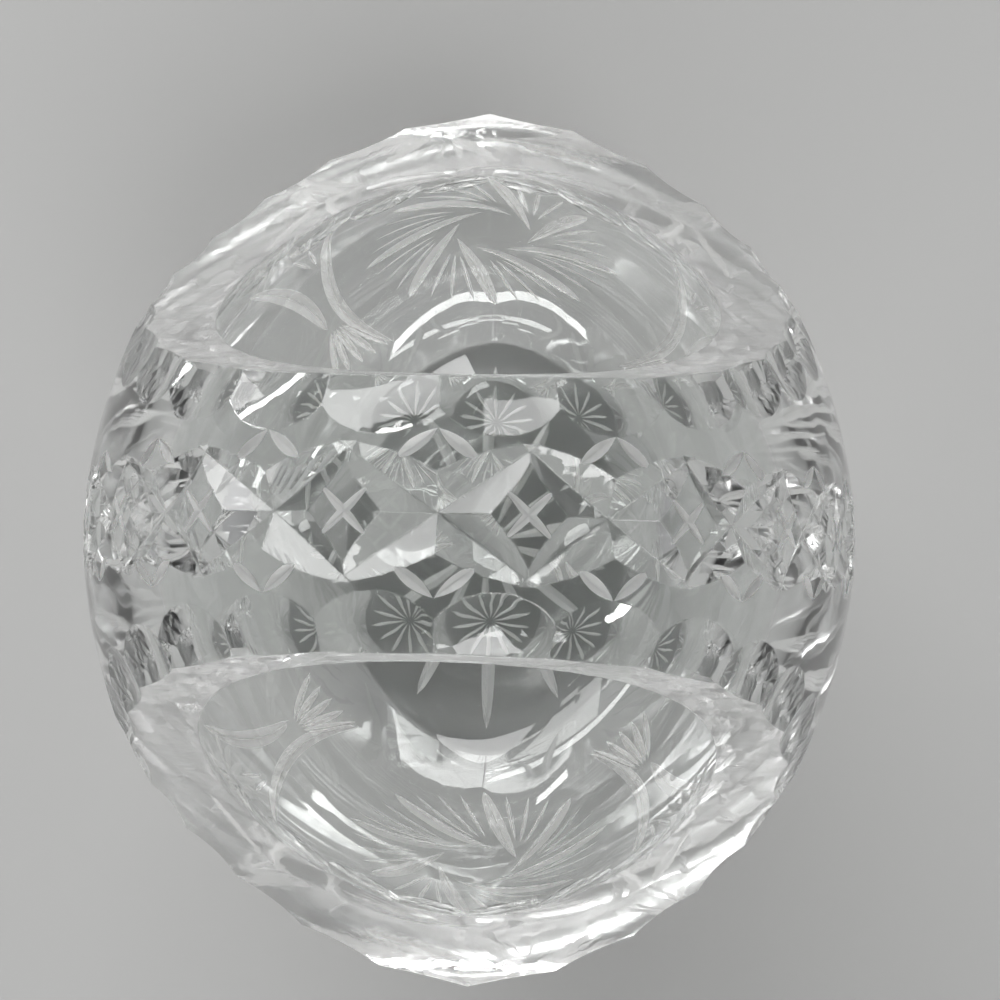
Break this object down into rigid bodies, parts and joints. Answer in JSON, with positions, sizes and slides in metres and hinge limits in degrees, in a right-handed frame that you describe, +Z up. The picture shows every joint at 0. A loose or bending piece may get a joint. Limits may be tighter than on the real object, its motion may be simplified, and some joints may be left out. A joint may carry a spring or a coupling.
{
  "type": "crystal basket",
  "caption": "Clear cut-crystal basket with a boat-shaped bowl, a star-cut base and a wide arched handle, for flowers, fruit or sweets.",
  "frame": {"origin": "centre of the flat underside, on the table", "axes": "+Z up, X along the span of the handle, Y along the length of the bowl, through both windows"},
  "size_m": [0.13, 0.163, 0.1737],
  "materials": {
    "base": "clear polished lead crystal, star cut underneath",
    "bowl": "clear polished lead crystal with satin pinwheel and leaf cuts",
    "handle": "clear polished lead crystal with polished cross cuts"
  },
  "bodies": {
    "root": {"base": "base", "bowl": "bowl", "handle": "handle"}
  },
  "joints": []
}
